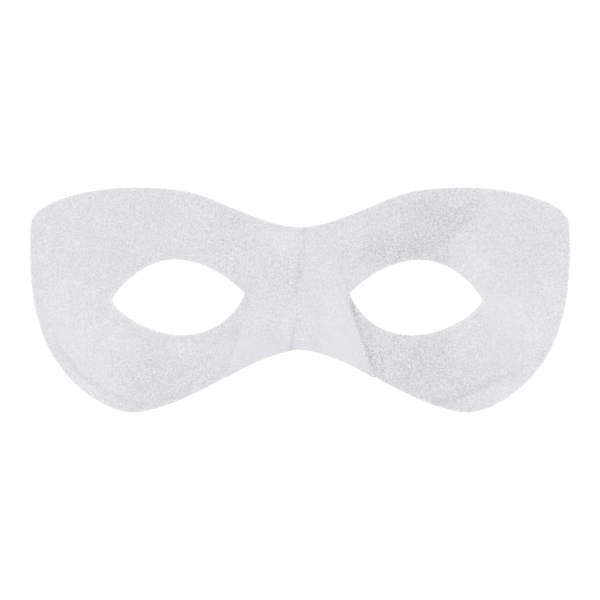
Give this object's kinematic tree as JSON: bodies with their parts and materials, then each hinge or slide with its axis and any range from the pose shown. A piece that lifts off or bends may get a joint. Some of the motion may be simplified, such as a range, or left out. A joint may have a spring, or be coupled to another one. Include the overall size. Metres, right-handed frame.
{
  "type": "domino mask",
  "caption": "Soft one-piece half mask for the eyes, moulded from pale felt, with two almond eye openings, a raised nose ridge and rounded lobes that wrap round the face.",
  "frame": {"origin": "on the resting surface, under the middle of the mask's bounding box", "axes": "+X across the face to the right of the picture, +Y up to the forehead edge, +Z out of the front of the mask; the mask lies front up on its two side edges"},
  "size_m": [0.1898, 0.0785, 0.0471],
  "materials": {
    "felt": "pale cool grey-white short-nap felt, matt, moulded in one piece with a plain cut edge"
  },
  "bodies": {
    "root": {"mask_shell": "felt"}
  },
  "joints": []
}
